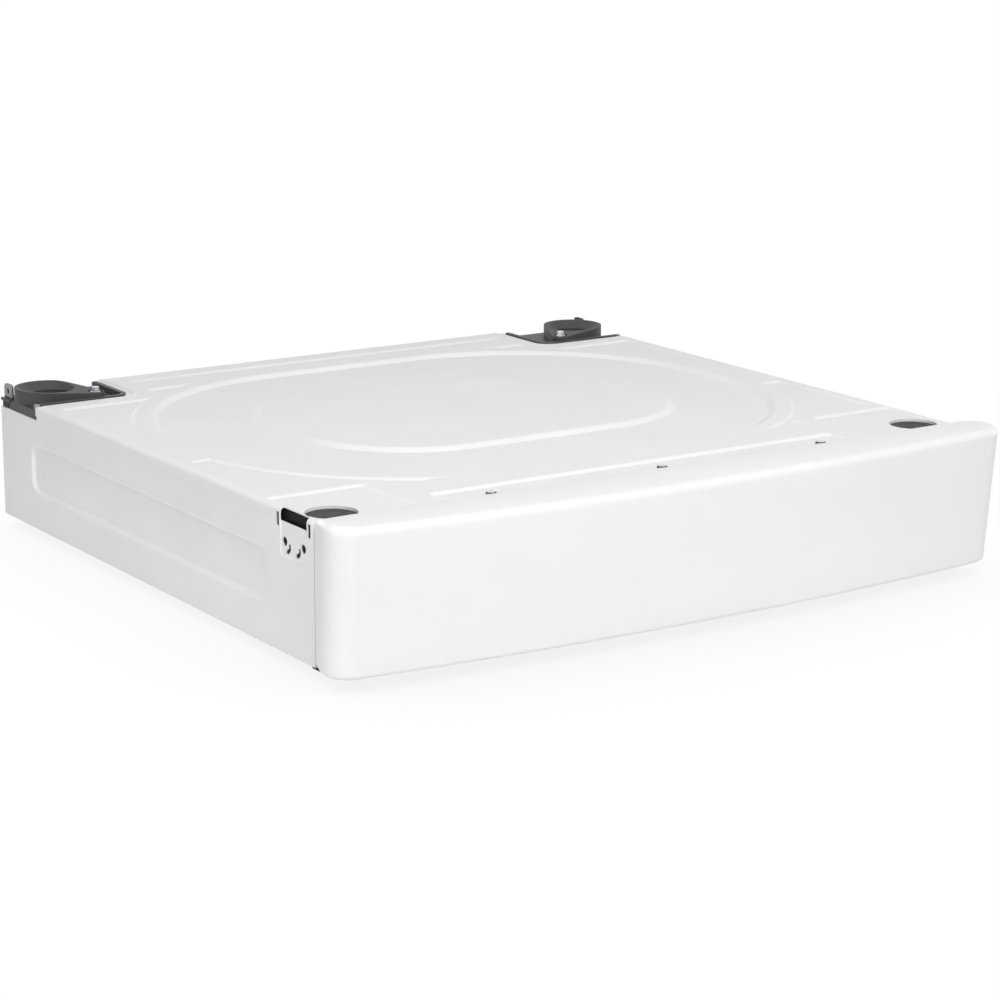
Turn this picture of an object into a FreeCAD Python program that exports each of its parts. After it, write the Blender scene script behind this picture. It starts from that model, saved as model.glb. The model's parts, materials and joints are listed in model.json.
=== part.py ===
import FreeCAD, Part
import math
import os
from FreeCAD import Vector

# Laundry pedestal: a low white steel plinth that lifts a front-loading machine.
# X runs to the right, Y to the back and Z up. The floor is Z = 0 and all sizes are millimetres.

# Cabinet
cabinet_width = 711.0
cabinet_depth = 640.0
panel_height = 128.0
floor_gap = 12.0
sheet = 1.2
flange_width = 18.0
deck_skirt = 11.8
deck_edge_radius = 5.0
cabinet_clearance = 0.3

# Deck pressings
recess_side_margin = 49.0
recess_end_margin = 71.0
recess_straight = 28.0
recess_depth = 4.0
press_run = 7.0
press_radius = 5.0
plateau_side_margin = 101.0
plateau_end_margin = 99.0
plateau_straight = 28.0
pad_ring_width = 15.0
pad_depth = 1.8
pad_run = 4.0
pad_side_margin = 12.0
pad_inner_margin = 185.0
rear_pad_start = 42.0
rear_pad_margin = 116.0
rear_pad_neck = 126.0
rear_pad_neck_margin = 73.0
front_pad_start = 66.0
front_pad_margin = 98.0
front_pad_neck = 122.0
front_pad_neck_margin = 74.0
foot_corner_width = 104.0
foot_corner_margin = 4.0
foot_corner_depth = 2.0
front_strip_margin = 130.0
front_strip_width = 32.0
front_strip_depth = 2.4
rear_ridge_margin = 126.0
rear_ridge_width = 38.0
rear_ridge_height = 1.5
rear_slope_width = 26.0
rear_slope_drop = 2.6
pocket_margin = 9.0
pocket_depth = 2.4

# Front foot wells in the deck
well_from_side = 31.5
well_from_seam = 25.0
well_radius = 23.0
well_seat_radius = 22.5
well_reach = 3.4
front_pad_thickness = 5.0
front_pad_edge = 1.2
pad_clearance = 0.3

# Side panels
side_recess_front_margin = 83.0
side_recess_rear_margin = 70.0
side_recess_low = 36.0
side_recess_drop = 40.0
side_recess_depth = 3.0
side_recess_run = 4.0
side_recess_radius = 15.0
notch_depth = 16.0
slot_from_seam = 35.0
slot_width = 46.0
slit_width = 4.4
slit_length = 12.0
slit_offset = 4.0
slit_drop = 5.0
tongue_height = 31.0
tongue_depth = 0.8
tongue_radius = 6.0
tongue_hole_radius = 4.0
tongue_hole_spacing = 32.0
tongue_hole_drop = 17.0
crescent_spacing = 17.0
crescent_shift = 3.8
crescent_drop = 25.5
crescent_radius = 4.5
crescent_width = 3.8
crescent_start = -110.0
crescent_angle = 145.0

guard_gap = 4.3
guard_thickness = 1.5
guard_overlap = 8.0
guard_margin = 8.5

# Front fascia, a bowed moulding
fascia_depth = 81.0
fascia_lean = 11.0
fascia_bow = 22.0
fascia_flare = 18.5
fascia_wall = 3.0
fascia_corner_radius = 24.0
fascia_edge_radius = 8.0
fascia_foot_radius = 6.0
fascia_rear_rise = 0.6
fascia_crown_rise = 6.8
fascia_front_rise = 4.6
fascia_crown_share = 0.58
fascia_bottom_lip = 20.0
fascia_screw_spacing = 183.0
fascia_screw_from_seam = 6.0
fascia_boss_radius = 6.5
fascia_boss_rise = 1.2

# Front rail behind the fascia
rail_sheet = 1.5
rail_flange = 18.0
rail_corner_notch = 66.0
rail_corner_drop = 14.0

# Rear panel
rear_emboss_margin = 90.0
rear_emboss_low = 38.0
rear_emboss_high = 84.0
rear_emboss_depth = 3.0
rear_emboss_run = 8.0
rear_emboss_radius = 15.0
rear_screw_count = 3
rear_screw_inset = 9.0
rear_screw_margin = 20.0

# Stiffeners under the deck
angle_sheet = 1.5
angle_leg = 34.0
angle_lip = 10.0
beam_width = 40.0
beam_height = 25.0
beam_from_end = 118.0

# Rear corner brackets that hold the machine's back feet
bracket_width = 103.0
bracket_depth = 86.0
bracket_corner_radius = 13.0
bracket_sheet = 2.5
bracket_floor_drop = 7.0
bracket_lip_rise = 2.0
bracket_hem = 2.5
bracket_lip_end = 8.0
bracket_flange_drop = 22.0
ear_width = 17.5
ear_from_rear = 2.5
ear_from_side = 3.0
ear_rise = 7.8
ear_hole_radius = 3.0
ear_hole_rise = 0.5
ear_radius = 4.0

# Foot cups clamped in the rear brackets
cup_from_side = 33.0
cup_from_rear = 39.1
cup_radius = 32.4
cup_height = 14.0
cup_bore_radius = 20.5
cup_bore_inward = 3.2
cup_bore_forward = 2.8
cup_rim = 3.0
cup_bore_length = 4.0
cup_tip_inward = 38.5
cup_tip_gap = 5.5
cup_tip_radius = 9.0
cup_tip_height = 10.5
cup_screw_pocket = 7.5
rear_pad_thickness = 3.0
rear_pad_seat = 1.0

# Fasteners
clamp_screw_radius = 2.5
clamp_flange_radius = 5.0
clamp_flange_height = 1.3
clamp_hex_width = 7.0
clamp_hex_height = 4.6
clamp_nut_width = 9.0
clamp_nut_height = 4.0
small_screw_radius = 1.9
small_head_radius = 4.8
small_head_height = 2.4
small_screw_length = 10.0
cross_length = 4.6
cross_width = 1.1
cross_depth = 1.3
hole_clearance = 0.2

# Fascia corner clips
clip_thickness = 2.0
clip_length = 14.0
clip_width = 15.0
clip_peg_radius = 2.4
clip_peg_inset = 9.0
clip_from_side = 1.0

# Levelling feet
foot_from_side = 56.0
foot_from_seam = 72.0
foot_from_rear = 72.0
foot_plate = 2.5
foot_plate_width = 76.0
foot_plate_height = 16.0
foot_plate_flange = 16.0
stud_radius = 5.0
stud_length = 62.0
thread_clearance = 0.1
stud_hex_width = 14.0
stud_hex_height = 6.0
nut_width = 17.0
weld_nut_height = 8.0
lock_nut_height = 6.0
foot_pad_radius = 22.0
foot_pad_base = 6.0
foot_hub_radius = 10.0
foot_hub_height = 12.0
foot_socket_floor = 5.0
foot_pad_radius_edge = 1.5
foot_running_gap = 0.3

# Levels and faces that the pieces share
half_width = cabinet_width / 2
rear_head = small_head_height
rear_y = (cabinet_depth + fascia_depth - rear_head) / 2
seam_y = rear_y - cabinet_depth
front_y = seam_y - fascia_depth
middle_y = (seam_y + rear_y) / 2
base_z = floor_gap
deck_z = floor_gap + panel_height
skirt_z = deck_z - deck_skirt
inside_x = half_width - sheet
pocket_z = deck_z - pocket_depth
tray_z = deck_z - bracket_floor_drop
pad_top_z = tray_z + rear_pad_thickness
cup_tip_forward = bracket_depth - cup_from_rear - cup_tip_radius - cup_tip_gap
slot_y = seam_y + slot_from_seam
SIDES = (("left", -1), ("right", 1))
UP = Vector(0, 0, 1)


def block(x0, x1, y0, y1, z0, z1):
    return Part.makeBox(x1 - x0, y1 - y0, z1 - z0, Vector(x0, y0, z0))


def rod(radius, x, y, z0, z1):
    return Part.makeCylinder(radius, z1 - z0, Vector(x, y, z0))


def cross_rod(radius, x0, x1, y, z):
    return Part.makeCylinder(radius, x1 - x0, Vector(x0, y, z), Vector(1, 0, 0))


def hexagon(width, x, y, z0, z1):
    corner = width / math.sqrt(3)
    angles = [math.radians(60 * step) for step in range(7)]
    points = [Vector(x + corner * math.cos(a), y + corner * math.sin(a), z0) for a in angles]
    return Part.Face(Part.makePolygon(points)).extrude(Vector(0, 0, z1 - z0))


def mirrored(shape):
    return shape.mirror(Vector(0, 0, 0), Vector(1, 0, 0))


def on_side(shape, sign):
    """A left-hand shape as it is, or its mirror image for the right-hand side."""
    return shape if sign < 0 else mirrored(shape)


def rounded_outline(x0, x1, y0, y1, radius, z):
    """A closed outline with straight sides and round corners, level at height z."""
    centres = (
        (x1 - radius, y1 - radius, 0),
        (x0 + radius, y1 - radius, 90),
        (x0 + radius, y0 + radius, 180),
        (x1 - radius, y0 + radius, 270),
    )
    arcs = [Part.makeCircle(radius, Vector(x, y, z), UP, turn, turn + 90) for x, y, turn in centres]
    edges = []
    for index, arc in enumerate(arcs):
        follower = arcs[(index + 1) % len(arcs)]
        edges.append(arc)
        edges.append(Part.makeLine(arc.valueAt(arc.LastParameter), follower.valueAt(follower.FirstParameter)))
    return Part.Wire(edges)


def pressing(x0, x1, y0, y1, radius, wide_z, narrow_z, run):
    """A drafted form, full size at wide_z and drawn in by run all round at narrow_z."""
    wide = rounded_outline(x0, x1, y0, y1, radius, wide_z)
    narrow = rounded_outline(x0 + run, x1 - run, y0 + run, y1 - run, radius - run, narrow_z)
    return Part.makeLoft([wide, narrow], True, True)


def side_pressing(y0, y1, z0, z1, radius, face_x, depth, run):
    """The same drafted form pressed inward from the outer face of the left side panel."""
    level = pressing(-(z1 - z0) / 2, (z1 - z0) / 2, y0, y1, radius, 0, -depth, run)
    level.rotate(Vector(0, 0, 0), Vector(0, 1, 0), -90)
    level.translate(Vector(face_x, 0, (z0 + z1) / 2))
    return level


def flat_edges(shape, x_reach, y_reach):
    """Level edges inside a window about the middle of the deck."""
    found = []
    for edge in shape.Edges:
        box = edge.BoundBox
        level = box.ZLength < 0.001
        across = max(-box.XMin, box.XMax)
        along = max(middle_y - box.YMin, box.YMax - middle_y)
        if level and across < x_reach and along < y_reach:
            found.append(edge)
    return found


def recess_outline(grow):
    """Half sizes and corner radius of the big deck recess, grown outward by the given amount."""
    half_x = half_width - recess_side_margin + grow
    half_y = cabinet_depth / 2 - recess_end_margin + grow
    return half_x, half_y, half_y - recess_straight


def centred_pressing(half_x, half_y, radius, wide_z, narrow_z, run):
    return pressing(-half_x, half_x, middle_y - half_y, middle_y + half_y, radius, wide_z, narrow_z, run)


def deck_form(inset):
    """The deck's pressed shape as a solid, with its outer faces moved in by the inset."""
    top = deck_z - inset
    x_edge = half_width - inset
    form = block(-x_edge, x_edge, seam_y + inset, rear_y - inset, skirt_z - inset, top)
    half_x, half_y, corner = recess_outline(0)
    form = form.cut(centred_pressing(half_x, half_y, corner, top, top - recess_depth, press_run))
    plateau_x = half_x - plateau_side_margin
    plateau_y = half_y - plateau_end_margin
    plateau_corner = plateau_y - plateau_straight
    floor_z = top - recess_depth
    form = form.fuse(centred_pressing(plateau_x, plateau_y, plateau_corner, floor_z, top, press_run))
    form = form.removeSplitter()
    form = form.makeFillet(press_radius, flat_edges(form, half_x + 1, half_y + 1))
    side_edges = [edge for edge in form.Edges if is_side_top(edge, x_edge, top)]
    form = form.makeFillet(deck_edge_radius - inset, side_edges)
    for cutter in (corner_pads(top), foot_corners(top), front_strip(top), bracket_pockets(top)):
        form = form.cut(cutter)
    return rear_ridge(form, top, inset)


def is_side_top(edge, x_edge, top):
    box = edge.BoundBox
    along = box.YLength > cabinet_depth / 2
    return along and abs(abs(box.Center.x) - x_edge) < 0.01 and abs(box.ZMax - top) < 0.01


def corner_pads(top):
    """Shallow pads in the four corners, outside a ring round the big recess."""
    outer = half_width - pad_side_margin
    inner = half_width - pad_inner_margin
    rear_start = middle_y + rear_pad_start
    front_start = middle_y - front_pad_start
    spans = (
        (half_width - rear_pad_neck, rear_start, rear_y - rear_pad_margin, rear_y - rear_pad_neck_margin),
        (half_width - front_pad_neck, seam_y + front_pad_margin, front_start, seam_y + front_pad_neck_margin),
    )
    half_x, half_y, corner = recess_outline(pad_ring_width + pad_run)
    ring = centred_pressing(half_x, half_y, corner, top - pad_depth, top, pad_run)
    radius = 2 * pad_run
    pads = []
    for neck_x, y0, y1, neck_y in spans:
        pad = pressing(inner, outer, y0, y1, radius, top, top - pad_depth, pad_run)
        low_y = min(neck_y, y0)
        high_y = max(neck_y, y1)
        pad = pad.fuse(pressing(inner, neck_x, low_y, high_y, radius, top, top - pad_depth, pad_run))
        pads.append(pad.cut(ring))
        pads.append(mirrored(pads[-1]))
    return Part.makeCompound(pads)


def foot_corners(top):
    """Lowered corners round the front foot wells, open to the front seam."""
    outer = half_width - foot_corner_margin
    inner = half_width - foot_corner_width
    back = seam_y + front_pad_margin - pad_run
    corner = pressing(inner, outer, seam_y - front_pad_margin, back, 2 * pad_run, top,
                      top - foot_corner_depth, pad_run)
    return Part.makeCompound([corner, mirrored(corner)])


def front_strip(top):
    """A lowered strip along the front seam, where the fascia screws are reached."""
    reach = half_width - front_strip_margin
    back = seam_y + front_strip_width
    return pressing(-reach, reach, seam_y - front_strip_width, back, 2 * pad_run, top,
                    top - front_strip_depth, pad_run)


def bracket_pockets(top):
    """Shallow pockets round the rear brackets, open to the sides and the back."""
    inner = -half_width + bracket_width + pocket_margin
    front = rear_y - bracket_depth - pocket_margin
    pocket = pressing(-half_width - bracket_width, inner, front, rear_y + bracket_depth,
                      bracket_corner_radius + pocket_margin, top, top - pocket_depth, pad_run)
    return Part.makeCompound([pocket, mirrored(pocket)])


def rear_ridge(form, top, inset):
    """A raised ridge along the back that slopes down to the rear edge."""
    reach = half_width - rear_ridge_margin
    start = rear_y - rear_ridge_width
    ridge = pressing(-reach, reach, start, rear_y + rear_ridge_width, 2 * pad_run, top,
                     top + rear_ridge_height, pad_run)
    ridge = ridge.common(block(-reach, reach, start, rear_y - inset, top - 1, top + rear_ridge_height))
    slope_y = rear_y - rear_slope_width
    peak = top + rear_ridge_height
    tail_y = rear_y + rear_slope_width
    tail_z = peak - 2 * rear_slope_drop
    points = [Vector(-half_width, slope_y, peak), Vector(-half_width, tail_y, tail_z),
              Vector(-half_width, tail_y, peak), Vector(-half_width, slope_y, peak)]
    wedge = Part.Face(Part.makePolygon(points)).extrude(Vector(cabinet_width, 0, 0))
    return form.fuse(ridge).cut(wedge)


def bracket_opening(grow):
    """Plan of the left rear bracket as a tall block with a round inner corner."""
    x1 = -half_width + bracket_width + grow
    y0 = rear_y - bracket_depth - grow
    radius = bracket_corner_radius + grow
    outline = rounded_outline(-half_width - bracket_width, x1, y0, rear_y + bracket_depth, radius, base_z)
    return Part.Face(outline).extrude(Vector(0, 0, 2 * panel_height))


def slot_cut():
    """The hook slot and its two relief slits at the top of the left side."""
    x0 = -half_width - 1
    x1 = -half_width + deck_edge_radius
    half_slot = slot_width / 2
    half_slit = slit_width / 2
    slit_z = skirt_z - slit_drop
    cut = block(x0, x1, slot_y - half_slot, slot_y + half_slot, skirt_z, deck_z + deck_skirt)
    for direction in (-1, 1):
        y = slot_y + direction * (half_slot + slit_offset)
        cut = cut.fuse(block(x0, x1, y - half_slit, y + half_slit, slit_z, slit_z + slit_length))
    return cut


def well_centre():
    return -half_width + well_from_side, seam_y + well_from_seam


def front_pad_top():
    return deck_z - foot_corner_depth - well_reach


def clamp_point():
    """Axis of the left clamp screw, at the tip of the cup."""
    x, y = cup_centre()
    return x + cup_tip_inward, y - cup_tip_forward


def top_deck():
    deck = deck_form(0).cut(deck_form(sheet))
    x, y = well_centre()
    seat_z = front_pad_top() - front_pad_thickness
    well = rod(well_radius + sheet, x, y, seat_z - sheet, deck_z - foot_corner_depth - sheet / 2)
    hollow = rod(well_seat_radius, x, y, seat_z, deck_z).fuse(rod(well_radius, x, y, front_pad_top(), deck_z))
    for sign in (-1, 1):
        deck = deck.fuse(on_side(well, sign)).cut(on_side(hollow, sign))
        deck = deck.cut(on_side(bracket_opening(-bracket_hem + cabinet_clearance), sign))
        deck = deck.cut(on_side(slot_cut(), sign))
    return deck.removeSplitter()


def panel_form(inset):
    """The left side panel's pressed shape as a solid pan."""
    face = -half_width + inset
    inner = -half_width + flange_width
    form = block(face, inner, seam_y + inset, rear_y - inset, base_z + inset, skirt_z + inset)
    y0 = seam_y + side_recess_front_margin
    y1 = rear_y - side_recess_rear_margin
    low = base_z + side_recess_low
    high = deck_z - side_recess_drop
    recess = side_pressing(y0, y1, low, high, side_recess_radius, face, side_recess_depth, side_recess_run)
    y0 = slot_y - slot_width / 2
    y1 = slot_y + slot_width / 2
    low = skirt_z - tongue_height
    high = skirt_z + tongue_height
    tongue = side_pressing(y0, y1, low, high, tongue_radius, face, tongue_depth, tongue_depth)
    return form.cut(recess).cut(tongue)


def crescent(direction):
    """A curved slot in the left tongue, hooked towards the back."""
    y = slot_y + crescent_shift + direction * crescent_spacing / 2
    z = skirt_z - crescent_drop + crescent_radius
    reach = 3 * sheet
    origin = Vector(0, 0, 0)
    ring = Part.makeCylinder(crescent_radius + crescent_width / 2, reach, origin, UP, crescent_angle)
    ring = ring.cut(Part.makeCylinder(crescent_radius - crescent_width / 2, reach))
    ring.rotate(origin, UP, crescent_start)
    ring.rotate(origin, Vector(1, 0, 0), 90)
    ring.rotate(origin, UP, -90)
    ring.translate(Vector(-half_width + 2 * sheet, y, z))
    return ring


def side_panel():
    panel = panel_form(0).cut(panel_form(sheet))
    panel = panel.cut(slot_cut())
    hole_z = skirt_z - tongue_hole_drop
    for direction in (-1, 1):
        hole_y = slot_y + direction * tongue_hole_spacing / 2
        panel = panel.cut(cross_rod(tongue_hole_radius, -half_width - 1, -inside_x + 2, hole_y, hole_z))
        panel = panel.cut(crescent(direction))
    notch_z = deck_z - notch_depth
    notch = block(-half_width - 1, half_width, rear_y - bracket_depth, rear_y + 1, notch_z, deck_z)
    panel = panel.cut(notch)
    panel = panel.cut(clip_hole(1))
    for z in rear_screw_levels():
        panel = panel.cut(rear_screw_hole(z))
    return panel.removeSplitter()


def slot_guard():
    """A dark moulded pocket behind the left hook slot, with a rib at each end against the panel."""
    x0 = -inside_x + guard_gap
    half = slot_width / 2 + guard_margin
    low = skirt_z - guard_overlap
    top = deck_z - foot_corner_depth - sheet
    guard = block(x0, x0 + guard_thickness, slot_y - half, slot_y + half, low, top)
    rib_top = deck_z - deck_edge_radius
    for y in (slot_y - half, slot_y + half - guard_thickness):
        guard = guard.fuse(block(-inside_x, x0, y, y + guard_thickness, low, rib_top))
    return guard.removeSplitter()


def rear_screw_levels():
    low = base_z + rear_screw_margin
    high = deck_z - notch_depth - rear_screw_inset
    step = (high - low) / (rear_screw_count - 1)
    return [low + step * index for index in range(rear_screw_count)]


def rear_screw_hole(z):
    start = Vector(-half_width + rear_screw_inset, rear_y + 1, z)
    return Part.makeCylinder(small_screw_radius + hole_clearance, 4 * sheet, start, Vector(0, -1, 0))


def rear_form(inset):
    """The rear panel's pressed shape, seen as a pan that opens to the front."""
    back = rear_y - sheet - inset
    low = base_z + sheet + inset
    form = block(-inside_x, inside_x, back - flange_width, back, low, tray_z - bracket_sheet)
    centre_z = base_z + (rear_emboss_low + rear_emboss_high) / 2
    half_z = (rear_emboss_high - rear_emboss_low) / 2
    reach = inside_x - rear_emboss_margin
    depth = rear_emboss_depth
    emboss = pressing(-reach, reach, -half_z, half_z, rear_emboss_radius, 0, -depth, rear_emboss_run)
    emboss.rotate(Vector(0, 0, 0), Vector(1, 0, 0), -90)
    emboss.translate(Vector(0, back, centre_z))
    return form.cut(emboss)


def rear_panel():
    panel = rear_form(0).cut(rear_form(sheet))
    for sign in (-1, 1):
        for z in rear_screw_levels():
            panel = panel.cut(on_side(rear_screw_hole(z), sign))
    return panel.removeSplitter()


def clip_hole(direction):
    """Hole for one peg of the left clip, in front of the seam (-1) or behind it (1)."""
    x = -half_width + clip_peg_inset
    y = seam_y + direction * clip_length / 4
    return rod(clip_peg_radius + hole_clearance, x, y, base_z - 1, base_z + 2 * fascia_wall)


def front_rail():
    web_y = seam_y + sheet
    low = base_z + sheet
    web = block(-inside_x, inside_x, web_y, web_y + rail_sheet, low, skirt_z)
    reach = half_width - rail_corner_notch
    top_flange = block(-reach, reach, seam_y - rail_flange, web_y + rail_sheet, skirt_z - rail_sheet, skirt_z)
    foot_flange = block(-inside_x, inside_x, web_y, web_y + rail_flange, low, low + rail_sheet)
    rail = web.fuse(top_flange).fuse(foot_flange)
    corner_z = skirt_z - rail_corner_drop
    corner = block(-half_width, -reach, seam_y - 1, seam_y + rail_flange, corner_z, deck_z)
    for sign in (-1, 1):
        rail = rail.cut(on_side(corner, sign)).cut(on_side(clip_hole(1), sign))
    for x in fascia_screw_places():
        rail = rail.cut(rod(small_screw_radius + hole_clearance, x, fascia_screw_y(), base_z, deck_z))
    return rail.removeSplitter()


def fascia_screw_places():
    return (-fascia_screw_spacing, 0, fascia_screw_spacing)


def fascia_screw_y():
    return seam_y - fascia_screw_from_seam


def fascia_plan(inset, apex_y, z):
    """Plan of the fascia at one height: straight back, sides that flare forward, bowed front."""
    x_back = half_width - inset
    x_front = x_back + fascia_flare
    back = seam_y + (1 if inset else 0)
    corner_y = apex_y + fascia_bow
    left_front = Vector(-x_front, corner_y, z)
    right_front = Vector(x_front, corner_y, z)
    left_back = Vector(-x_back, back, z)
    right_back = Vector(x_back, back, z)
    bow = Part.Arc(right_front, Vector(0, apex_y, z), left_front).toShape()
    return Part.Wire([
        Part.makeLine(left_back, right_back),
        Part.makeLine(right_back, right_front),
        bow,
        Part.makeLine(left_front, left_back),
    ])


def fascia_crown(inset):
    """Everything above the fascia's gently domed top."""
    sections = []
    for share in (-1, 0, 1):
        x = share * (half_width + fascia_flare + fascia_corner_radius)
        front = front_y + abs(share) * fascia_bow
        middle = seam_y + (front - seam_y) * fascia_crown_share
        points = (
            Vector(x, seam_y, deck_z + fascia_rear_rise - inset),
            Vector(x, middle, deck_z + fascia_crown_rise - inset),
            Vector(x, front, deck_z + fascia_front_rise - inset),
        )
        circle = Part.Circle(*points)
        angles = [circle.parameter(point) for point in points]
        spread = abs(angles[2] - angles[0]) / 4
        longer = Part.ArcOfCircle(circle, min(angles) - spread, max(angles) + spread)
        sections.append(Part.Wire([longer.toShape()]))
    top = Part.makeLoft(sections, False, False)
    return top.Faces[0].extrude(Vector(0, 0, panel_height))


def fascia_form(inset):
    """The fascia's outer shape as a solid, or its hollow when inset by the wall."""
    low = base_z + inset
    high = deck_z + 2 * fascia_crown_rise
    rise = (high - base_z) / panel_height
    low_plan = fascia_plan(inset, front_y + fascia_lean + inset, low)
    high_plan = fascia_plan(inset, front_y + fascia_lean * (1 - rise) + inset, high)
    form = Part.makeLoft([low_plan, high_plan], True, True)
    uprights = [edge for edge in form.Edges if is_front_upright(edge)]
    form = form.makeFillet(fascia_corner_radius - inset, uprights)
    form = form.cut(fascia_crown(inset))
    shoulder = [edge for edge in form.Edges if is_shoulder(edge, deck_z - inset)]
    form = form.makeFillet(fascia_edge_radius - inset / 2, shoulder)
    if inset == 0:
        foot = [edge for edge in form.Edges if is_foot(edge, low)]
        form = form.makeFillet(fascia_foot_radius, foot)
    return form


def is_front_upright(edge):
    box = edge.BoundBox
    return box.ZLength > panel_height / 2 and box.YMax < seam_y - fascia_bow


def is_shoulder(edge, level):
    box = edge.BoundBox
    high = box.ZMin > level - 1
    at_back = box.YMin > seam_y - 1
    return high and not at_back


def is_foot(edge, level):
    box = edge.BoundBox
    low = box.ZMax < level + 0.01
    at_back = box.YMin > seam_y - 1
    return low and not at_back


def front_fascia():
    shell = fascia_form(0).cut(fascia_form(fascia_wall))
    reach = half_width - fascia_bottom_lip
    opening_front = front_y + fascia_lean + fascia_bow + fascia_bottom_lip
    shell = shell.cut(block(-reach, reach, opening_front, seam_y + 1, base_z - 1, base_z + 2 * fascia_wall))
    lip = block(-half_width + fascia_wall, half_width - fascia_wall, seam_y - fascia_wall, seam_y,
                skirt_z + cabinet_clearance, deck_z)
    shell = shell.fuse(lip)
    screw_y = fascia_screw_y()
    front_half = block(-half_width, half_width, front_y, seam_y, base_z, 2 * deck_z)
    head_z = fascia_head_z()
    for x in fascia_screw_places():
        boss = rod(fascia_boss_radius, x, screw_y, skirt_z, head_z).common(front_half)
        shell = shell.fuse(boss)
        shell = shell.cut(rod(fascia_boss_radius, x, screw_y, head_z, 2 * deck_z))
        shell = shell.cut(rod(small_screw_radius + hole_clearance, x, screw_y, base_z, 2 * deck_z))
    for sign in (-1, 1):
        shell = shell.cut(on_side(clip_hole(-1), sign))
    return shell.removeSplitter()


def fascia_head_z():
    return deck_z + fascia_boss_rise


def pan_screw(length):
    """A pan-head screw with a cross recess, pointing down, its head resting on Z = 0."""
    head = Part.makeCylinder(small_head_radius, small_head_height)
    rim = [edge for edge in head.Edges if edge.BoundBox.ZMin > small_head_height - 0.01]
    head = head.makeFillet(small_head_height / 2, rim)
    half = cross_length / 2
    slim = cross_width / 2
    low = small_head_height - cross_depth
    cross = block(-half, half, -slim, slim, low, small_head_height + 1)
    cross = cross.fuse(block(-slim, slim, -half, half, low, small_head_height + 1))
    shank = Part.makeCylinder(small_screw_radius, length, Vector(0, 0, -length))
    return head.cut(cross).fuse(shank)


def fascia_screws():
    screws = []
    reach = fascia_head_z() - skirt_z + rail_sheet + small_screw_length / 2
    for x in fascia_screw_places():
        screw = pan_screw(reach)
        screw.translate(Vector(x, fascia_screw_y(), fascia_head_z()))
        screws.append(screw)
    return Part.makeCompound(screws)


def rear_panel_screws():
    screws = []
    for sign in (-1, 1):
        for z in rear_screw_levels():
            screw = pan_screw(small_screw_length)
            screw.rotate(Vector(0, 0, 0), Vector(1, 0, 0), -90)
            screw.translate(Vector(-half_width + rear_screw_inset, rear_y, z))
            screws.append(on_side(screw, sign))
    return Part.makeCompound(screws)


def deck_angle():
    """The left angle that ties the side panel to the deck."""
    y0 = seam_y + front_pad_margin
    y1 = rear_y - bracket_depth - flange_width
    top = deck_z - sheet
    bend = deck_edge_radius - sheet
    x0 = -inside_x
    upright = block(x0, x0 + angle_sheet, y0, y1, top - angle_leg, top - bend)
    lip = block(x0 + bend, x0 + angle_lip, y0, y1, top - angle_sheet, top)
    outline = (
        Vector(x0, y0, top - bend),
        Vector(x0 + bend, y0, top),
        Vector(x0 + bend, y0, top - angle_sheet),
        Vector(x0 + angle_sheet, y0, top - bend),
        Vector(x0, y0, top - bend),
    )
    corner = Part.Face(Part.makePolygon(outline)).extrude(Vector(0, y1 - y0, 0))
    return upright.fuse(corner).fuse(lip).removeSplitter()


def deck_beam(y):
    """A channel across the cabinet that carries the floor of the big recess."""
    top = deck_z - recess_depth - sheet
    low = top - beam_height
    reach = inside_x - angle_sheet
    half = beam_width / 2
    inner = half - sheet
    beam = block(-reach, reach, y - half, y + half, low, top)
    return beam.cut(block(-reach, reach, y - inner, y + inner, low, top - sheet))


def rear_bracket():
    """The left tray of bent steel, with hemmed lips, a side flange and a drilled ear."""
    wall = bracket_sheet
    top = pocket_z + bracket_lip_rise
    limit = block(-half_width, half_width, middle_y, rear_y, base_z, 2 * deck_z)
    under = tray_z - wall
    outer = bracket_opening(-bracket_hem)
    inner = bracket_opening(-bracket_hem - wall)
    rim = bracket_opening(0)
    tray = outer.common(block(-half_width, 0, middle_y, rear_y, under, top))
    tray = tray.cut(inner.common(block(-half_width - 1, 0, middle_y, rear_y + 1, tray_z, top + 1)))
    hem = rim.cut(inner).common(block(-half_width, 0, middle_y, rear_y, pocket_z, top))
    bracket = tray.fuse(hem).common(limit)
    lip_gap = block(-half_width - 1, 0, rear_y - bracket_lip_end, rear_y + 1, tray_z, top + 1)
    bracket = bracket.cut(lip_gap)
    flange_x = -inside_x + cabinet_clearance
    flange_y = rear_y - bracket_depth + bracket_hem + wall
    flange_z = under - bracket_flange_drop
    flange = block(flange_x, flange_x + wall, flange_y, rear_y - flange_width, flange_z, under)
    ear_y = rear_y - ear_from_rear - ear_width
    ledge = block(-half_width - 1, flange_x, middle_y, ear_y, under - 1, tray_z + 1)
    bracket = bracket.cut(ledge).fuse(flange).fuse(ear())
    x, y = clamp_point()
    bracket = bracket.cut(rod(clamp_screw_radius + hole_clearance, x, y, base_z, tray_z + 1))
    return bracket.removeSplitter()


def ear():
    y1 = rear_y - ear_from_rear
    y0 = y1 - ear_width
    top = deck_z + ear_rise
    x0 = -half_width + ear_from_side
    x1 = x0 + bracket_sheet
    plate = block(x0, x1, y0, y1, tray_z, top)
    boxes = [(edge, edge.BoundBox) for edge in plate.Edges]
    corners = [edge for edge, box in boxes if box.ZMin > top - 0.01 and box.XLength > 1]
    plate = plate.makeFillet(ear_radius, corners)
    hole_z = deck_z + ear_hole_rise
    return plate.cut(cross_rod(ear_hole_radius, x0 - 1, x1 + 1, (y0 + y1) / 2, hole_z))


def cup_centre():
    return -half_width + cup_from_side, rear_y - cup_from_rear


def bore_centre():
    x, y = cup_centre()
    return x + cup_bore_inward, y - cup_bore_forward


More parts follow.
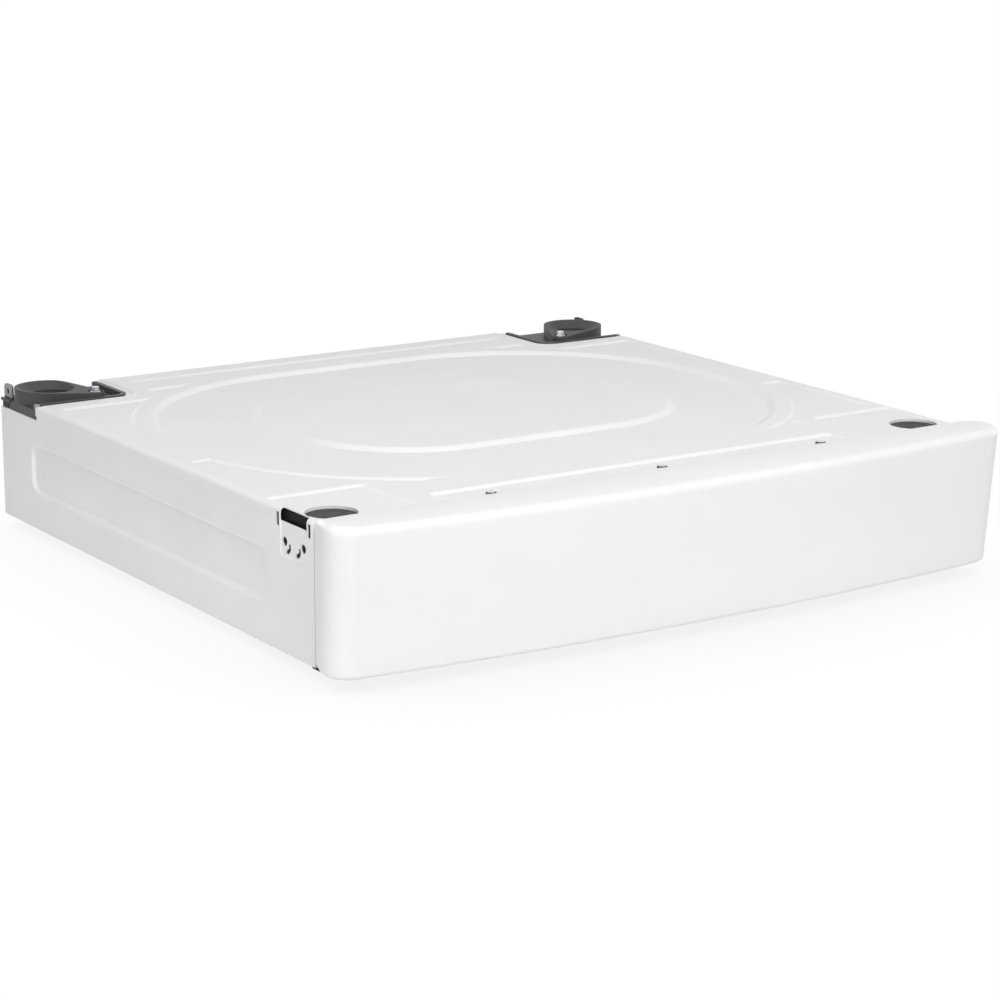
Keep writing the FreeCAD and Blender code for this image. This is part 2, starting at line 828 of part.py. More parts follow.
def teardrop(z):
    """Plan of the left cup: a big round end and a small round tip joined by straight sides."""
    x0, y0 = cup_centre()
    x1, y1 = clamp_point()
    distance = math.hypot(x1 - x0, y1 - y0)
    heading = math.degrees(math.atan2(y1 - y0, x1 - x0))
    lean = math.degrees(math.acos((cup_radius - cup_tip_radius) / distance))
    round_end = Part.makeCircle(cup_radius, Vector(x0, y0, z), UP, heading + lean, heading + 360 - lean)
    tip = Part.makeCircle(cup_tip_radius, Vector(x1, y1, z), UP, heading - lean, heading + lean)
    first = Part.makeLine(round_end.valueAt(round_end.LastParameter), tip.valueAt(tip.FirstParameter))
    second = Part.makeLine(tip.valueAt(tip.LastParameter), round_end.valueAt(round_end.FirstParameter))
    return Part.Wire([round_end, first, tip, second])


def foot_cup():
    """The left cup: a funnel that centres the machine's foot, clamped at its tip."""
    x0, y0 = cup_centre()
    x1, y1 = clamp_point()
    rim_z = tray_z + cup_height
    body = Part.Face(teardrop(tray_z)).extrude(Vector(0, 0, cup_height))
    heading = math.atan2(y1 - y0, x1 - x0)
    length = math.hypot(x1 - x0, y1 - y0)
    fall = (cup_height - cup_tip_height) / length
    points = [Vector(0, 0, rim_z), Vector(2 * length, 0, rim_z - 2 * length * fall),
              Vector(2 * length, 0, rim_z + 1), Vector(0, 0, rim_z + 1), Vector(0, 0, rim_z)]
    wedge = Part.Face(Part.makePolygon(points)).extrude(Vector(0, 4 * cup_radius, 0))
    wedge.translate(Vector(0, -2 * cup_radius, 0))
    wedge.rotate(Vector(0, 0, 0), UP, math.degrees(heading))
    wedge.translate(Vector(x0, y0, 0))
    body = body.cut(wedge)
    bore_top = pad_top_z + cup_bore_length
    bore_x, bore_y = bore_centre()
    throat = Part.Wire([Part.makeCircle(cup_bore_radius, Vector(bore_x, bore_y, bore_top))])
    mouth = Part.Wire([Part.makeCircle(cup_radius - cup_rim, Vector(x0, y0, rim_z))])
    funnel = Part.makeLoft([throat, mouth], True, True)
    seat = rod(cup_bore_radius + rear_pad_seat, bore_x, bore_y, tray_z, pad_top_z)
    body = body.cut(rod(cup_bore_radius, bore_x, bore_y, tray_z, bore_top)).cut(funnel).cut(seat)
    body = body.cut(rod(cup_screw_pocket, x1, y1, clamp_seat_z(), 2 * deck_z))
    body = body.cut(rod(clamp_screw_radius + hole_clearance, x1, y1, tray_z - 1, 2 * deck_z))
    return body.removeSplitter()


def clamp_seat_z():
    return tray_z + cup_tip_height - clamp_flange_height


def cup_clamp_screws():
    x, y = clamp_point()
    seat = clamp_seat_z()
    low = tray_z - bracket_sheet - clamp_nut_height - clamp_screw_radius
    flange = rod(clamp_flange_radius, x, y, seat, seat + clamp_flange_height)
    head_top = seat + clamp_flange_height + clamp_hex_height
    head = hexagon(clamp_hex_width, x, y, seat + clamp_flange_height, head_top)
    shank = rod(clamp_screw_radius, x, y, low, seat)
    screw = flange.fuse(head).fuse(shank).removeSplitter()
    return Part.makeCompound([screw, mirrored(screw)])


def cup_clamp_nuts():
    x, y = clamp_point()
    top = tray_z - bracket_sheet
    nut = hexagon(clamp_nut_width, x, y, top - clamp_nut_height, top)
    nut = nut.cut(rod(clamp_screw_radius + hole_clearance, x, y, base_z, deck_z))
    return Part.makeCompound([nut, mirrored(nut)])


def rear_pad():
    x, y = bore_centre()
    return rod(cup_bore_radius + rear_pad_seat - pad_clearance, x, y, tray_z, pad_top_z)


def front_pad():
    x, y = well_centre()
    top = front_pad_top()
    pad = rod(well_seat_radius - pad_clearance, x, y, top - front_pad_thickness, top)
    rim = [edge for edge in pad.Edges if edge.BoundBox.ZMin > top - 0.01]
    return pad.makeFillet(front_pad_edge, rim)


def fascia_clip():
    """The left joining clip, pegged into the side panel and the fascia from below."""
    x0 = -half_width + clip_from_side
    plate = block(x0, x0 + clip_width, seam_y - clip_length / 2, seam_y + clip_length / 2,
                  base_z - clip_thickness, base_z)
    x = -half_width + clip_peg_inset
    for direction, grip in ((-1, fascia_wall), (1, sheet + rail_sheet)):
        y = seam_y + direction * clip_length / 4
        plate = plate.fuse(rod(clip_peg_radius, x, y, base_z - clip_thickness / 2, base_z + grip))
    return plate.removeSplitter()


def foot_places():
    """Name, X and Y of each levelling foot."""
    x = half_width - foot_from_side
    rows = (("front", seam_y + foot_from_seam), ("rear", rear_y - foot_from_rear))
    return [(f"{row}_{side}", sign * x, y) for row, y in rows for side, sign in SIDES]


def foot_plate_z():
    return base_z + foot_plate_height


def foot_bracket(x, y):
    """A bent plate on the side panel that takes the load of one levelling foot."""
    low = foot_plate_z()
    sign = math.copysign(1, x)
    y0 = y - foot_plate_width / 2
    y1 = y + foot_plate_width / 2
    inner = inside_x - foot_from_side - foot_plate_width / 2
    plate = block(-inside_x, -inner, y0, y1, low, low + foot_plate)
    flange = block(-inside_x, -inside_x + foot_plate, y0, y1, low, low + foot_plate_flange)
    hole = rod(stud_radius + thread_clearance, -abs(x), y, base_z, deck_z)
    return on_side(plate.fuse(flange).cut(hole).removeSplitter(), sign)


def nut(x, y, z0, z1):
    return hexagon(nut_width, x, y, z0, z1).cut(rod(stud_radius + thread_clearance, x, y, z0 - 1, z1 + 1))


def weld_nuts():
    low = foot_plate_z() + foot_plate
    return Part.makeCompound([nut(x, y, low, low + weld_nut_height) for _, x, y in foot_places()])


def lock_nuts():
    top = foot_plate_z()
    return Part.makeCompound([nut(x, y, top - lock_nut_height, top) for _, x, y in foot_places()])


def foot_stud(x, y):
    """A threaded stud with a hexagon for the spanner, at its upper stop."""
    low = foot_socket_floor
    hex_top = foot_plate_z() - lock_nut_height - foot_running_gap
    stud = rod(stud_radius, x, y, low, low + stud_length)
    return stud.fuse(hexagon(stud_hex_width, x, y, hex_top - stud_hex_height, hex_top)).removeSplitter()


def foot_pad(x, y):
    """The round foot that stands on the floor, with a socket for the stud."""
    base = rod(foot_pad_radius, x, y, 0, foot_pad_base)
    top_rim = [edge for edge in base.Edges if edge.BoundBox.ZMin > foot_pad_base - 0.01]
    base = base.makeFillet(foot_pad_radius_edge, top_rim)
    hub_top = min(foot_hub_height, foot_plate_z() - lock_nut_height - stud_hex_height - 2 * foot_running_gap)
    hub = rod(foot_hub_radius, x, y, 0, hub_top)
    socket = rod(stud_radius + thread_clearance, x, y, foot_socket_floor, deck_z)
    return base.fuse(hub).cut(socket).removeSplitter()


def all_pieces():
    pieces = {
        "top_deck": top_deck(),
        "rear_panel": rear_panel(),
        "front_rail": front_rail(),
        "front_fascia": front_fascia(),
        "front_deck_beam": deck_beam(seam_y + beam_from_end),
        "rear_deck_beam": deck_beam(rear_y - beam_from_end),
        "fascia_screws": fascia_screws(),
        "rear_panel_screws": rear_panel_screws(),
        "cup_clamp_screws": cup_clamp_screws(),
        "cup_clamp_nuts": cup_clamp_nuts(),
        "weld_nuts": weld_nuts(),
        "lock_nuts": lock_nuts(),
    }
    handed = {
        "side_panel": side_panel(),
        "deck_angle": deck_angle(),
        "rear_bracket": rear_bracket(),
        "foot_cup": foot_cup(),
        "rear_cup_pad": rear_pad(),
        "front_well_pad": front_pad(),
        "slot_guard": slot_guard(),
        "fascia_clip": fascia_clip(),
    }
    for name, shape in handed.items():
        for side, sign in SIDES:
            pieces[f"{side}_{name}"] = on_side(shape, sign)
    for place, x, y in foot_places():
        pieces[f"{place}_foot_bracket"] = foot_bracket(x, y)
        pieces[f"{place}_foot_stud"] = foot_stud(x, y)
        pieces[f"{place}_foot_pad"] = foot_pad(x, y)
    return pieces


os.makedirs("parts", exist_ok=True)
for node, shape in all_pieces().items():
    shape.exportStep(f"parts/{node}.step")
    print(node, "solids", len(shape.Solids), "valid", shape.isValid(), "volume", round(shape.Volume, 1))
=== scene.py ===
import json
import math

import bmesh
import bpy
from mathutils import Matrix, Quaternion, Vector


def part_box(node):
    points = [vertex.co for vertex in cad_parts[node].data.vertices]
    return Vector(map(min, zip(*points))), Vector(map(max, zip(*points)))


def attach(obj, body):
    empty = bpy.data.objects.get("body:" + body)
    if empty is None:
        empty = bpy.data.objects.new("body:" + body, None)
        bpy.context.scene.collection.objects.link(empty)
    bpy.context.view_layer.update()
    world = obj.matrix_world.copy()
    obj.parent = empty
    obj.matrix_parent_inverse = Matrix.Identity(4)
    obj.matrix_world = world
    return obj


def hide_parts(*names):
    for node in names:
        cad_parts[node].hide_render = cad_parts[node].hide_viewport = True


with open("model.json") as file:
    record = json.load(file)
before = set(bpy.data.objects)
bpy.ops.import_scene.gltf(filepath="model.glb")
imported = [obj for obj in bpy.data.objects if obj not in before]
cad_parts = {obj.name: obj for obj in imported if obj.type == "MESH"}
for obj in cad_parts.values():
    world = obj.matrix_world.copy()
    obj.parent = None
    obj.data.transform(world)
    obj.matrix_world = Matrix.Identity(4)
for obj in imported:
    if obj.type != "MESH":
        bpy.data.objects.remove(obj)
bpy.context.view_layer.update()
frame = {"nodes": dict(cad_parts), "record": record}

nodes = frame["nodes"]
slot_of = {part["node"]: part["material_slot"] for part in frame["record"]["subparts"]}
scene = bpy.context.scene

# Camera of the photograph: its place in metres, its angles in degrees, its lens and sensor in millimetres
CAMERA_PLACE = (-1.4871, -2.2845, 0.7244)
CAMERA_AZIMUTH = -33.32
CAMERA_ELEVATION = 13.85
CAMERA_ROLL = 0.13
CAMERA_LENS = 102.53
CAMERA_SENSOR = 36.0
CAMERA_REACH = 200.0

# Studio, in metres: each lamp has a name, a place, a width and height, and its watts
FLOOR_HALF_SIZE = 30.0
FLOOR_COLOUR = "#F2F2F3"
PAPER_WHITE = "#FFFFFF"
SKY_LEVEL = 0.08
PAGE_LEVEL = 1.0
LAMPS = (
    ("front_key_softbox", (-0.9, -3.2, 3.1), (2.4, 1.8), 130.0),
    ("top_softbox", (-0.1, -0.5, 2.2), (2.0, 1.4), 17.0),
    ("left_softbox", (-2.3, -0.2, 0.22), (1.8, 0.3), 9.5),
    ("right_softbox", (3.2, -0.2, 0.4), (1.4, 0.7), 9.0),
    ("rear_softbox", (0.0, 3.2, 0.3), (2.0, 0.5), 8.0),
)
LAMP_TARGET = (0.0, -0.05, 0.1)

# Shadow round the cabinet: its darkest level, its reach in metres and the share of open sky where it ends
SHADE_DARKEST = 0.86
SHADE_REACH = 0.25
SHADE_OPEN_SKY = 0.85
SHADE_SAMPLES = 8

# Floor under the cabinet, in metres
UNDER_HALF_WIDTH = 0.3
UNDER_HALF_DEPTH = 0.27
UNDER_MIDDLE = 0.04
UNDER_BLUR = 0.03

# Painted light on the rear brackets' ears: a paler grey on their outer faces for the light they catch; where
# it starts, in metres, and its colour
EAR_FROM_MIDDLE = 0.3515
EAR_FROM_FLOOR = 0.1352
EAR_PAINTED_LIGHT = "#9A9B9E"

# Fascia screws, in metres: their spacing, their line across the part, the radius beyond which a head is
# painted dark, and that dark grey, which is painted shade round the head
SCREW_SPACING = 0.183
SCREW_LINE = -0.2867
SCREW_SHADE_RADIUS = 0.0036
SCREW_RIM_SHADE = "#3E3F42"

# Finishes: where a pattern goes from one colour to the other, its octaves and the samples of an eased edge
TONE_ENDS = (0.3, 0.7)
TONE_DETAIL = 4.0
GRAIN_DETAIL = 2.0
EDGE_SAMPLES = 4

# Fascia, in millimetres: the gap at its ends, and how far in from the side panel's face an end reaches
SEAM_GAP = 1.0
SEAM_REACH = 10.0

# Levelling studs, in millimetres, with the points round a turn and the rows to a pitch of the thread
STUD_RADIUS = 5.0
HEXAGON_FROM = 5.25
THREAD_PITCH = 1.5
THREAD_DEPTH = 0.9
THREAD_STEPS = 20
THREAD_ROWS = 4

# Rubber cups of the front wells, in millimetres, with the points round a turn
WELL_RIM_RADIUS = 22.9
WELL_STEPS = 72
# Rim and ring of a cup: how far in from the outside of the rim, and how far up from the seat
WELL_RIM = ((0.0, 0.0), (0.0, 0.5), (0.3, 0.8), (1.2, 0.8), (1.8, 0.2))
WELL_RING = ((4.6, 0.0), (5.2, 0.5), (7.2, 0.5), (7.8, 0.0))
# Boss of a cup: its radii, and how far up from the seat
WELL_BOSS = ((7.0, 0.0), (6.4, 0.6), (0.0, 0.7))

# Points closer than this many millimetres are one, and faces under this angle in degrees shade as one
WELD_REACH = 0.01
SMOOTH_ANGLE = 32.0


def metres(size_mm):
    """Millimetres as metres."""
    return size_mm / 1000.0


def millimetres(size_m):
    """Metres as millimetres."""
    return size_m * 1000.0


def per_metre(size_mm):
    """The texture scale at which one feature of the pattern is that many millimetres wide."""
    return 1000.0 / size_mm


def linear(hex_colour):
    """An sRGB hex colour as linear RGBA."""
    parts = [int(hex_colour[i:i + 2], 16) / 255 for i in (1, 3, 5)]
    return tuple(c / 12.92 if c <= 0.04045 else ((c + 0.055) / 1.055) ** 2.4 for c in parts) + (1.0,)


def add_node(tree, kind, values=None, links=None, **settings):
    """Adds a shader node with its settings, its socket values and its incoming links."""
    made = tree.nodes.new("ShaderNode" + kind)
    for name, value in settings.items():
        setattr(made, name, value)
    for socket, value in (values or {}).items():
        made.inputs[socket].default_value = value
    for socket, source in (links or {}).items():
        tree.links.new(source, made.inputs[socket])
    return made


def new_material(name):
    """An empty node material and its tree."""
    made = bpy.data.materials.new(name)
    made.use_nodes = True
    made.node_tree.nodes.clear()
    return made, made.node_tree


def surface(name, colours, roughness, tone_mm, grain_mm, grain_height_mm, edge_mm=0.0, spangled=False,
            painted_light_and_shade=None, sockets=None):
    """A finish whose colour and roughness change over tone_mm and whose grain has a width and a height.

    Grains under a millimetre are drawn several times as wide as the real ones, so that they show.
    """
    made, tree = new_material(name)
    place = add_node(tree, "TexCoord").outputs["Object"]
    if spangled:
        cells = add_node(tree, "TexVoronoi", {"Scale": per_metre(tone_mm)}, {"Vector": place})
        tone = add_node(tree, "SeparateColor", links={"Color": cells.outputs["Color"]}).outputs["Red"]
    else:
        cloud = add_node(tree, "TexNoise", {"Scale": per_metre(tone_mm), "Detail": TONE_DETAIL},
                         {"Vector": place})
        tone = cloud.outputs["Fac"]
    grain = add_node(tree, "TexNoise", {"Scale": per_metre(grain_mm), "Detail": GRAIN_DETAIL},
                     {"Vector": place})
    bump = add_node(tree, "Bump", {"Strength": 1.0, "Distance": metres(grain_height_mm)},
                    {"Height": grain.outputs["Fac"]})
    if edge_mm:
        eased = add_node(tree, "Bevel", {"Radius": metres(edge_mm)}, samples=EDGE_SAMPLES)
        tree.links.new(eased.outputs["Normal"], bump.inputs["Normal"])
    gloss = add_node(tree, "MapRange", {"To Min": roughness[0], "To Max": roughness[1]}, {"Value": tone})
    ramp = add_node(tree, "ValToRGB", links={"Fac": tone})
    for element, position, shade in zip(ramp.color_ramp.elements, TONE_ENDS, colours):
        element.position = position
        element.color = linear(shade)
    colour = ramp.outputs["Color"]
    # Painted light and shade: a flat colour laid over the finish where the given mask is 1, paler for painted
    # light, darker for painted shade
    if painted_light_and_shade:
        where, painted_tone = painted_light_and_shade
        mix = add_node(tree, "Mix", {"B": linear(painted_tone)}, {"Factor": where(tree, place), "A": colour},
                       data_type="RGBA")
        colour = mix.outputs["Result"]
    shader = add_node(tree, "BsdfPrincipled", sockets, {
        "Base Color": colour,
        "Roughness": gloss.outputs["Result"],
        "Normal": bump.outputs["Normal"],
    })
    add_node(tree, "OutputMaterial", links={"Surface": shader.outputs["BSDF"]})
    return made


def painted_light_on_ears(tree, place):
    """1 on the outer faces of the rear brackets' ears, where a paler grey is painted on as the light they
    catch.
    """
    axes = add_node(tree, "SeparateXYZ", links={"Vector": place})
    outward = add_node(tree, "Math", None, {0: axes.outputs["X"]}, operation="ABSOLUTE")
    beyond = add_node(tree, "Math", {1: EAR_FROM_MIDDLE}, {0: outward.outputs["Value"]},
                      operation="GREATER_THAN")
    above = add_node(tree, "Math", {1: EAR_FROM_FLOOR}, {0: axes.outputs["Z"]}, operation="GREATER_THAN")
    return add_node(tree, "Math", None, {0: beyond.outputs["Value"], 1: above.outputs["Value"]},
                    operation="MULTIPLY").outputs["Value"]


def painted_shade_on_screw_rims(tree, place):
    """1 on the rims of the fascia screws, where dark grey is painted on as the shade round each head."""
    axes = add_node(tree, "SeparateXYZ", links={"Vector": place})
    across = add_node(tree, "Math", {1: SCREW_SPACING / 2, 2: -SCREW_SPACING / 2}, {0: axes.outputs["X"]},
                      operation="WRAP")
    along = add_node(tree, "Math", {1: SCREW_LINE}, {0: axes.outputs["Y"]}, operation="SUBTRACT")
    flat = add_node(tree, "CombineXYZ", None, {"X": across.outputs["Value"], "Y": along.outputs["Value"]})
    reach = add_node(tree, "VectorMath", None, {0: flat.outputs["Vector"]}, operation="LENGTH")
    return add_node(tree, "Math", {1: SCREW_SHADE_RADIUS}, {0: reach.outputs["Value"]},
                    operation="GREATER_THAN").outputs["Value"]


def white_enamel():
    """Sprayed and baked enamel on sheet steel: satin, with the faint ripple of sprayed paint."""
    return surface("white_enamel_on_steel", ("#F0F0F2", "#F4F4F5"), roughness=(0.36, 0.46), tone_mm=90.0,
                   grain_mm=2.4, grain_height_mm=0.006, edge_mm=0.8, sockets={"Specular IOR Level": 0.3})


def white_moulding():
    """Injection-moulded ABS from a polished tool: brighter and glossier than the enamel, almost no grain."""
    return surface("white_abs_moulding", ("#F1F1F2", "#F4F4F5"), roughness=(0.3, 0.38), tone_mm=140.0,
                   grain_mm=3.5, grain_height_mm=0.002)


def white_painted_screw():
    """Painted screw head: white in the middle, with painted shade in dark grey round the rim."""
    return surface("white_painted_screw", ("#DADADC", "#EFEFF0"), roughness=(0.3, 0.5), tone_mm=4.0,
                   # Painted shade: dark grey round the rim of each head
                   grain_mm=0.8, grain_height_mm=0.01, painted_light_and_shade=(painted_shade_on_screw_rims, SCREW_RIM_SHADE))


def grey_painted_steel():
    """Dark grey dip paint on bent steel: semi-matte, with a fine pebbled skin."""
    return surface("grey_painted_steel", ("#3C3C3F", "#48484B"), roughness=(0.42, 0.55), tone_mm=18.0,
                   # Painted light: a paler grey on the outer faces of the ears
                   grain_mm=0.9, grain_height_mm=0.02, edge_mm=0.5, painted_light_and_shade=(painted_light_on_ears, EAR_PAINTED_LIGHT),
                   sockets={"Specular IOR Level": 0.3})


def grey_moulding():
    """Dark grey glass-filled nylon from a spark-eroded tool: matte, with an even fine grain."""
    return surface("grey_nylon_moulding", ("#3E3E41", "#4A4A4D"), roughness=(0.5, 0.62), tone_mm=14.0,
                   grain_mm=0.7, grain_height_mm=0.03, edge_mm=0.6, sockets={"Specular IOR Level": 0.3})


def black_moulding():
    """Black polypropylene: matte and slightly waxy."""
    return surface("black_polypropylene", ("#0A0A0B", "#111112"), roughness=(0.5, 0.62), tone_mm=12.0,
                   grain_mm=0.8, grain_height_mm=0.02, sockets={"Specular IOR Level": 0.12})


def grey_rubber():
    """Moulded rubber: dull dark grey with a dusty bloom in patches."""
    return surface("grey_rubber", ("#3C3C3D", "#4E4E50"), roughness=(0.72, 0.85), tone_mm=9.0,
                   grain_mm=0.6, grain_height_mm=0.03, sockets={"Specular IOR Level": 0.3})


def bright_zinc():
    """Bright zinc plate on turned steel: metallic with a faint blue-grey cloud."""
    return surface("bright_zinc_plate", ("#C9CCD0", "#DADCDE"), roughness=(0.22, 0.36), tone_mm=6.0,
                   grain_mm=0.5, grain_height_mm=0.004, sockets={"Metallic": 1.0})


def galvanised_sheet():
    """Hot-dip zinc on sheet: flat crystal spangles a few millimetres wide, each with its own grey."""
    return surface("galvanised_sheet", ("#B3B5B8", "#BEC0C3"), roughness=(0.36, 0.46), tone_mm=6.0,
                   grain_mm=1.5, grain_height_mm=0.004, spangled=True, sockets={"Metallic": 1.0})


FINISHES = {
    "white_enamel": white_enamel,
    "white_moulding": white_moulding,
    "white_screw": white_painted_screw,
    "grey_steel": grey_painted_steel,
    "grey_moulding": grey_moulding,
    "black_moulding": black_moulding,
    "rubber": grey_rubber,
    "zinc": bright_zinc,
    "galvanised": galvanised_sheet,
}


def dress_nodes():
    """Every node takes the finish that its material slot names."""
    made = {slot: build() for slot, build in FINISHES.items()}
    for node, slot in slot_of.items():
        mesh = nodes[node].data
        mesh.materials.clear()
        mesh.materials.append(made[slot])


def stand_for(node, name, mesh, body):
    """A shaped piece that takes a node's place, its finish and its body."""
    mesh.materials.append(nodes[node].data.materials[0])
    mesh.set_sharp_from_angle(angle=math.radians(SMOOTH_ANGLE))
    piece = bpy.data.objects.new(name, mesh)
    scene.collection.objects.link(piece)
    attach(piece, body)
    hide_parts(node)


def middle_of(low, high):
    """The upright axis of a round piece, from the corners of its box."""
    return Vector(((low[0] + high[0]) / 2, (low[1] + high[1]) / 2, 0.0))


def skin(work, rows):
    """Joins rings of points by faces. A row of one point is the middle of a disc."""
    steps = max(len(row) for row in rows)
    for under, over in zip(rows, rows[1:]):
        for step in range(steps):
            after = (step + 1) % steps
            corners = [under[step % len(under)], under[after % len(under)],
                       over[after % len(over)], over[step % len(over)]]
            work.faces.new(list(dict.fromkeys(corners)))


def shade_smooth(work):
    """Lets every face of a shape shade into its neighbours."""
    for face in work.faces:
        face.smooth = True


def fascia_moulding():
    """The fascia with its facets run together, and its ends set off from the side panels by a fine gap."""
    source = nodes["front_fascia"].data
    mesh = bpy.data.meshes.new("fascia_moulding")
    mesh.from_pydata([v.co for v in source.vertices], [], [tuple(p.vertices) for p in source.polygons])
    work = bmesh.new()
    work.from_mesh(mesh)
    bmesh.ops.remove_doubles(work, verts=work.verts, dist=metres(WELD_REACH))
    bmesh.ops.dissolve_degenerate(work, edges=work.edges, dist=metres(WELD_REACH))
    bmesh.ops.recalc_face_normals(work, faces=work.faces)
    panel_low, panel_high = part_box("right_side_panel")
    for vert in work.verts:
        at_seam = vert.co.y > panel_low[1] - metres(WELD_REACH)
        at_end = abs(vert.co.x) > panel_high[0] - metres(SEAM_REACH)
        if at_seam and at_end:
            vert.co.y -= metres(SEAM_GAP)
    shade_smooth(work)
    work.to_mesh(mesh)
    work.free()
    stand_for("front_fascia", "fascia_moulding", mesh, "cabinet")


def copy_hexagon(work, source, middle):
    """The spanner hexagon of a plain stud: its faces that reach out beyond the rod."""
    for polygon in source.polygons:
        corners = [source.vertices[index].co for index in polygon.vertices]
        reach = max((corner - middle).xy.length for corner in corners)
        if reach > metres(HEXAGON_FROM):
            work.faces.new([work.verts.new(corner) for corner in corners])
    bmesh.ops.remove_doubles(work, verts=work.verts, dist=metres(WELD_REACH))


def thread_ring(work, middle, height, row):
    """One ring of points on a threaded rod: the cut goes once round it and climbs from row to row."""
    ring = []
    for step in range(THREAD_STEPS):
        phase = (row / THREAD_ROWS - step / THREAD_STEPS) % 1.0
        cut = THREAD_DEPTH * abs(2 * phase - 1)
        radius = metres(STUD_RADIUS - cut)
        angle = 2 * math.pi * step / THREAD_STEPS
        offset = Vector((radius * math.cos(angle), radius * math.sin(angle), height))
        ring.append(work.verts.new(middle + offset))
    return ring


def threaded_stud(place):
    """A levelling stud with a cut thread, and the spanner hexagon of the plain one."""
    node = place + "_foot_stud"
    name = place + "_threaded_stud"
    low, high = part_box(node)
    middle = middle_of(low, high)
    length = high[2] - low[2]
    work = bmesh.new()
    copy_hexagon(work, nodes[node].data, middle)
    count = int(length / metres(THREAD_PITCH / THREAD_ROWS))
    rows = [thread_ring(work, middle, low[2] + length * row / count, row) for row in range(count + 1)]
    skin(work, rows)
    work.faces.new(list(reversed(rows[0])))
    work.faces.new(rows[-1])
    mesh = bpy.data.meshes.new(name)
    work.to_mesh(mesh)
    work.free()
    stand_for(node, name, mesh, place + "_stud")


def turned_row(work, middle, radius, height):
    """A ring of points about an upright axis, or one point on it, from millimetres."""
    if radius == 0:
        return [work.verts.new((middle.x, middle.y, metres(height)))]
    row = []
    for step in range(WELL_STEPS):
        angle = 2 * math.pi * step / WELL_STEPS
        x = middle.x + metres(radius) * math.cos(angle)
        y = middle.y + metres(radius) * math.sin(angle)
        row.append(work.verts.new((x, y, metres(height))))
    return row


def well_cup(side):
    """The moulded rubber cup of a front well: an upstanding rim, a raised ring and a middle boss."""
    node = side + "_front_well_pad"
    name = side + "_well_cup"
    low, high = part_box(node)
    foot = millimetres(low[2])
    seat = millimetres(high[2])
    radius = millimetres(high[0] - low[0]) / 2
    profile = [(0.0, foot), (radius, foot), (radius, seat)]
    profile += [(WELL_RIM_RADIUS - inward, seat + rise) for inward, rise in WELL_RIM + WELL_RING]
    profile += [(outward, seat + rise) for outward, rise in WELL_BOSS]
    work = bmesh.new()
    skin(work, [turned_row(work, middle_of(low, high), reach, height) for reach, height in profile])
    bmesh.ops.recalc_face_normals(work, faces=work.faces)
    shade_smooth(work)
    mesh = bpy.data.meshes.new(name)
    work.to_mesh(mesh)
    work.free()
    stand_for(node, name, mesh, "cabinet")


def photo_camera():
    """The camera at the photograph's place, angle and lens."""
    data = bpy.data.cameras.new("photo_camera")
    data.lens = CAMERA_LENS
    data.sensor_width = CAMERA_SENSOR
    data.clip_end = CAMERA_REACH
    camera = bpy.data.objects.new("photo_camera", data)
    scene.collection.objects.link(camera)
    azimuth = math.radians(CAMERA_AZIMUTH)
    elevation = math.radians(CAMERA_ELEVATION)
    forward = Vector((-math.sin(azimuth) * math.cos(elevation), math.cos(azimuth) * math.cos(elevation),
                      -math.sin(elevation)))
    turn = forward.to_track_quat("-Z", "Y") @ Quaternion((0.0, 0.0, 1.0), math.radians(CAMERA_ROLL))
    camera.matrix_world = Matrix.Translation(CAMERA_PLACE) @ turn.to_matrix().to_4x4()
    scene.camera = camera


def seen_directly(tree):
    """1 for rays from the camera, off gloss or through glass, and 0 for light that spreads."""
    path = add_node(tree, "LightPath")
    first = add_node(tree, "Math", None, {0: path.outputs["Is Camera Ray"], 1: path.outputs["Is Glossy Ray"]},
                     operation="MAXIMUM")
    return add_node(tree, "Math", None, {0: first.outputs["Value"], 1: path.outputs["Is Transmission Ray"]},
                    operation="MAXIMUM").outputs["Value"]


def under_the_cabinet(tree):
    """0 on the floor well under the cabinet, where only real light counts, and 1 round it."""
    axes = add_node(tree, "SeparateXYZ", links={"Vector": add_node(tree, "TexCoord").outputs["Object"]})
    reaches = []
    for axis, middle, half in (("X", 0.0, UNDER_HALF_WIDTH), ("Y", UNDER_MIDDLE, UNDER_HALF_DEPTH)):
        offset = add_node(tree, "Math", {1: middle}, {0: axes.outputs[axis]}, operation="SUBTRACT")
        size = add_node(tree, "Math", None, {0: offset.outputs["Value"]}, operation="ABSOLUTE")
        reaches.append(add_node(tree, "Math", {1: half}, {0: size.outputs["Value"]}, operation="SUBTRACT"))
    outside = add_node(tree, "Math", None, {0: reaches[0].outputs["Value"], 1: reaches[1].outputs["Value"]},
                       operation="MAXIMUM")
    return add_node(tree, "MapRange", {"From Min": -UNDER_BLUR, "From Max": 0.0},
                    {"Value": outside.outputs["Value"]}).outputs["Result"]


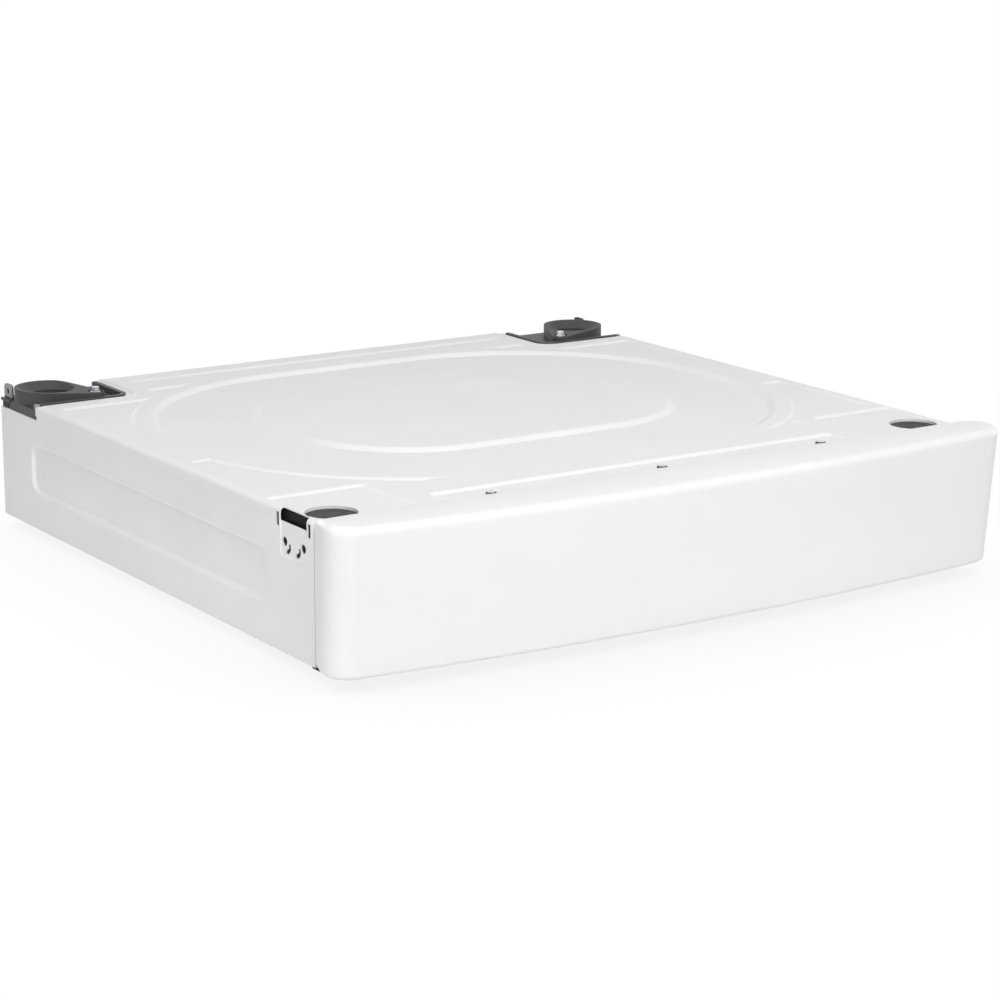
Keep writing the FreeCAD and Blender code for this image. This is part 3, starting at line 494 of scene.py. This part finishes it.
def studio_paper():
    """Pale paper, white to the camera but for a faint shadow round the cabinet, and clear from below."""
    made, tree = new_material("studio_paper")
    paper = add_node(tree, "BsdfDiffuse", {"Color": linear(FLOOR_COLOUR)})
    open_sky = add_node(tree, "AmbientOcclusion", {"Distance": SHADE_REACH}, samples=SHADE_SAMPLES)
    level = add_node(tree, "MapRange", {"From Max": SHADE_OPEN_SKY, "To Min": SHADE_DARKEST},
                     {"Value": open_sky.outputs["AO"]})
    glow = add_node(tree, "Emission", {"Color": linear(PAPER_WHITE)}, {"Strength": level.outputs["Result"]})
    page = add_node(tree, "Math", None, {0: seen_directly(tree), 1: under_the_cabinet(tree)},
                    operation="MULTIPLY")
    lit = add_node(tree, "MixShader", None,
                   {0: page.outputs["Value"], 1: paper.outputs["BSDF"], 2: glow.outputs["Emission"]})
    clear = add_node(tree, "BsdfTransparent")
    below = add_node(tree, "NewGeometry").outputs["Backfacing"]
    both = add_node(tree, "MixShader", None,
                    {0: below, 1: lit.outputs["Shader"], 2: clear.outputs["BSDF"]})
    add_node(tree, "OutputMaterial", links={"Surface": both.outputs["Shader"]})
    return made


def studio_floor():
    """A wide flat floor under the feet."""
    half = FLOOR_HALF_SIZE
    corners = [(-half, -half, 0), (half, -half, 0), (half, half, 0), (-half, half, 0)]
    mesh = bpy.data.meshes.new("studio_floor")
    mesh.from_pydata(corners, [], [(0, 1, 2, 3)])
    mesh.materials.append(studio_paper())
    floor = bpy.data.objects.new("studio_floor", mesh)
    scene.collection.objects.link(floor)


def studio_world():
    """Surroundings that are white to the camera and light the part only faintly."""
    world = bpy.data.worlds.new("studio")
    world.use_nodes = True
    scene.world = world
    tree = world.node_tree
    tree.nodes.clear()
    sky = add_node(tree, "Background", {"Color": linear(PAPER_WHITE), "Strength": SKY_LEVEL})
    page = add_node(tree, "Background", {"Color": linear(PAPER_WHITE), "Strength": PAGE_LEVEL})
    mix = add_node(tree, "MixShader", None,
                   {0: seen_directly(tree), 1: sky.outputs["Background"], 2: page.outputs["Background"]})
    add_node(tree, "OutputWorld", links={"Surface": mix.outputs["Shader"]})


def studio_lamps():
    """Large soft boxes that face the part."""
    for name, place, size, watts in LAMPS:
        data = bpy.data.lights.new(name, "AREA")
        data.shape = "RECTANGLE"
        data.size, data.size_y = size
        data.energy = watts
        lamp = bpy.data.objects.new(name, data)
        scene.collection.objects.link(lamp)
        lamp.location = place
        lamp.rotation_mode = "QUATERNION"
        lamp.rotation_quaternion = (Vector(LAMP_TARGET) - Vector(place)).to_track_quat("-Z", "Y")


scene.view_settings.view_transform = "Standard"
photo_camera()
dress_nodes()
fascia_moulding()
for side in ("left", "right"):
    well_cup(side)
    for end in ("front", "rear"):
        threaded_stud(end + "_" + side)
studio_floor()
studio_world()
studio_lamps()
